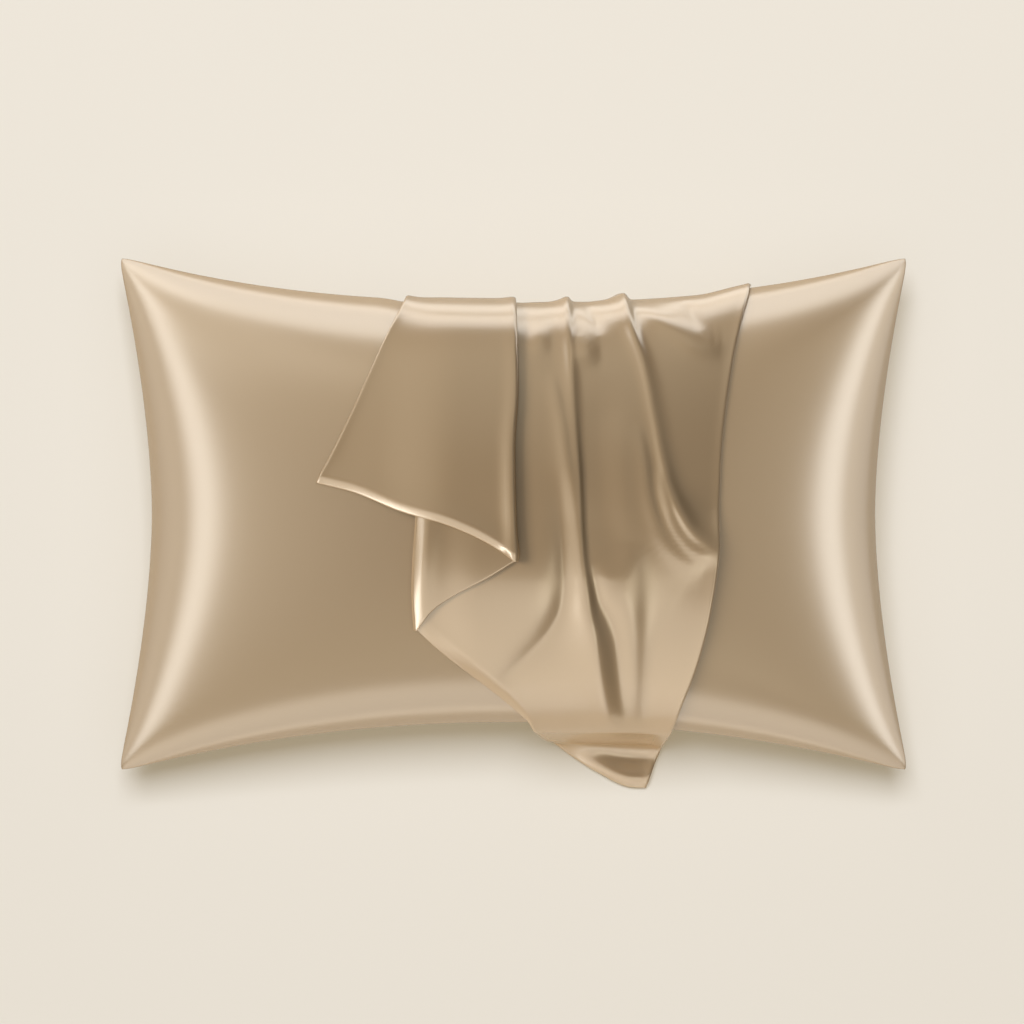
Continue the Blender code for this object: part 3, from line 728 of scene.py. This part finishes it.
# Angles in degrees, from straight up and round from +X; sizes in metres. "gloss" and
# "matt" tell whether a lamp shows in the satin's sheen and whether it lights its colour.
# The last column names what a lamp falls on: light linking keeps it off the rest.
WHITE = (1.0, 1.0, 1.0)
COOL = (0.94, 1.0, 1.09)
WARM = (1.0, 0.95, 0.80)
LAMPS = (
    Lamp("left_strip", 51.5, 180, 8.0, 1.65, 12.0, 2.4, COOL, True, False, ("pillow",)),
    Lamp("right_strip", 55.0, 0, 8.0, 1.9, 12.0, 2.55, COOL, True, False, ("pillow",)),
    Lamp("left_low", 78, 180, 8.0, 3.6, 12.0, 0.7, WHITE, True, False, ("pillow",)),
    Lamp("right_low", 78, 0, 8.0, 3.6, 12.0, 1.1, WHITE, True, False, ("pillow",)),
    Lamp("right_sky", 46, -10, 8.0, 7.4, 14.0, 0.26, WARM, True, False, ("pillow",)),
    Lamp("back_card", 75, 90, 0.66, 0.37, 1.5, 1.7, COOL, True, True, ("pillow",)),
    Lamp("back_glow", 52, 125, 8.0, 4.5, 5.0, 0.4, WHITE, True, False, ("pillow",)),
    Lamp("front_card", 76, -90, 0.75, 0.42, 1.5, 0.9, WHITE, True, True, ("pillow",)),
    Lamp("pillow_key", 28, 168, 8.0, 6.0, 8.0, 2.8, WHITE, False, True, ("pillow",)),
    Lamp("sky_panel", 0, 0, 8.0, 16.0, 16.0, 0.78, WHITE, False, True, ("pillow", "floor")),
    Lamp("floor_key", 22, 100, 8.0, 4.0, 4.0, 20.5, WHITE, False, True, ("floor",)),
    Lamp("drape_left", 50, 180, 8.0, 2.0, 20.0, 1.0, COOL, True, False, ("drape",)),
    Lamp("drape_corner", 54, 214, 8.0, 2.2, 3.2, 3.6, WHITE, True, False, ("drape",)),
    Lamp("drape_right", 27, -50, 8.0, 3.0, 3.4, 0.8, WARM, True, False, ("drape",)),
    Lamp("drape_back", 84, 90, 0.66, 0.22, 1.5, 1.5, COOL, True, False, ("drape",)),
    Lamp("drape_near", 85, 90, 0.33, 0.058, 1.5, 1.6, COOL, True, False, ("drape",)),
    Lamp("drape_front", 53, -105, 8.0, 12.0, 9.0, 0.62, WHITE, True, False, ("drape",)),
    Lamp("drape_key", 53, 168, 8.0, 3.0, 4.0, 16.5, WHITE, False, True, ("drape",)),
    Lamp("drape_rim", 85, 95, 8.0, 3.0, 4.0, 8.0, WHITE, False, True, ("drape",)),
    Lamp("drape_fill", 76, -90, 8.0, 3.0, 4.0, 13.0, WHITE, False, True, ("drape",)),
    Lamp("drape_panel", 0, 0, 8.0, 16.0, 16.0, 0.4, WHITE, False, True, ("drape",)))
Stop = namedtuple("Stop", "height red green blue")
# The sky's radiance from the horizon, height 0, to straight up, height 1. It shows in the
# sheen only: the panels above light the colours.
SKY = (Stop(0.0, 0.12, 0.11, 0.09), Stop(0.26, 0.28, 0.27, 0.23), Stop(0.5, 0.48, 0.46, 0.40),
       Stop(0.64, 0.55, 0.53, 0.46), Stop(0.77, 0.50, 0.48, 0.41), Stop(0.87, 0.42, 0.40, 0.34),
       Stop(0.94, 0.32, 0.30, 0.25), Stop(1.0, 0.12, 0.11, 0.09))
SKY_SHADE = (0.12, 0.42, 0.36)       # it darkens to the right between these two x, to this


def soft_light(lamp, things):
    """A rectangular light aimed at the pillow, its long side level."""
    lean, side = math.radians(lamp.off_vertical), math.radians(lamp.heading)
    data = bpy.data.lights.new(lamp.name, "AREA")
    data.shape = "RECTANGLE"
    data.size = lamp.length
    data.size_y = lamp.width
    data.energy = lamp.radiance * math.pi * lamp.width * lamp.length
    data.color = lamp.tint
    light = bpy.data.objects.new(lamp.name, data)
    light.location = (lamp.distance * math.sin(lean) * math.cos(side),
                      lamp.distance * math.sin(lean) * math.sin(side),
                      lamp.distance * math.cos(lean))
    light.rotation_euler = (lean, 0, side + math.pi / 2)
    light.visible_camera = False
    light.visible_glossy = lamp.gloss
    light.visible_diffuse = lamp.matt
    bpy.context.scene.collection.objects.link(light)
    lit = bpy.data.collections.new(lamp.name + "_lit")
    for name in lamp.on:
        lit.objects.link(things[name])
    light.light_linking.receiver_collection = lit


def build_sky():
    """The light that the satin mirrors from all round."""
    world = bpy.data.worlds.new("studio")
    world.use_nodes = True
    nodes, links = world.node_tree.nodes, world.node_tree.links
    place = nodes.new("ShaderNodeTexCoord")
    split = nodes.new("ShaderNodeSeparateXYZ")
    ramp_node = nodes.new("ShaderNodeValToRGB")
    links.new(place.outputs["Generated"], split.inputs[0])
    links.new(split.outputs["Z"], ramp_node.inputs["Fac"])
    stops = ramp_node.color_ramp.elements
    while len(stops) < len(SKY):
        stops.new(0.5)
    for stop, part in zip(stops, SKY):
        stop.position = part.height
        stop.color = (part.red, part.green, part.blue, 1)
    shade = nodes.new("ShaderNodeMapRange")
    shade.inputs["From Min"].default_value = SKY_SHADE[0]
    shade.inputs["From Max"].default_value = SKY_SHADE[1]
    shade.inputs["To Min"].default_value = 1.0
    shade.inputs["To Max"].default_value = SKY_SHADE[2]
    links.new(split.outputs["X"], shade.inputs["Value"])
    links.new(ramp_node.outputs["Color"], nodes["Background"].inputs["Color"])
    links.new(shade.outputs["Result"], nodes["Background"].inputs["Strength"])
    world.cycles_visibility.diffuse = False
    bpy.context.scene.world = world


FLOOR_HALF_SIZE = 6.0
FLOOR_COLOUR = (0.30, 0.30, 0.30)
# Painted light: the floor glows, which lifts its shadows evenly, and the glow's warm tint stands
# in for light bounced off the satin into them.
FLOOR_PAINTED_BOUNCE_GLOW = (0.28, 0.22, 0.125)
FLOOR_ROUGHNESS = 0.9


def build_floor():
    data = bpy.data.meshes.new("floor")
    shape = bmesh.new()
    bmesh.ops.create_grid(shape, x_segments=1, y_segments=1, size=FLOOR_HALF_SIZE)
    shape.to_mesh(data)
    shape.free()
    floor = bpy.data.objects.new("floor", data)
    data.materials.append(plain("floor_paper", FLOOR_COLOUR, FLOOR_PAINTED_BOUNCE_GLOW, FLOOR_ROUGHNESS))
    bpy.context.scene.collection.objects.link(floor)
    return floor


CAMERA_ABOVE_SEAM = 3.0
SENSOR_WIDTH = 36            # millimetres
FRAME_PIXELS = 1024
SCALE = 0.000907             # metres for each pixel, at the height of the seam
PILLOW_CENTRE = (513.5, 514.0)   # pixels


def build_camera():
    """The photo's view, straight down on the pillow's face."""
    data = bpy.data.cameras.new("camera")
    data.sensor_width = SENSOR_WIDTH
    data.lens = data.sensor_width * CAMERA_ABOVE_SEAM / (FRAME_PIXELS * SCALE)
    camera = bpy.data.objects.new("camera", data)
    middle = FRAME_PIXELS / 2
    camera.location = ((middle - PILLOW_CENTRE[0]) * SCALE,
                       (PILLOW_CENTRE[1] - middle) * SCALE,
                       SEAM_HEIGHT + CAMERA_ABOVE_SEAM)
    bpy.context.scene.collection.objects.link(camera)
    bpy.context.scene.camera = camera


bpy.context.scene.view_settings.view_transform = "Standard"
build_camera()
build_sky()

pillow = build_pillow()
pillow.data.materials.append(satin("pillow_satin_look", CHAMPAGNE))
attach(pillow, "root")
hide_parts("pillow_in_case")

drape = build_drape()
drape.data.materials.append(satin("draped_satin_look", CHAMPAGNE))
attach(drape, "root")
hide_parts("draped_case")

things = {"pillow": pillow, "drape": drape, "floor": build_floor()}
for lamp in LAMPS:
    soft_light(lamp, things)
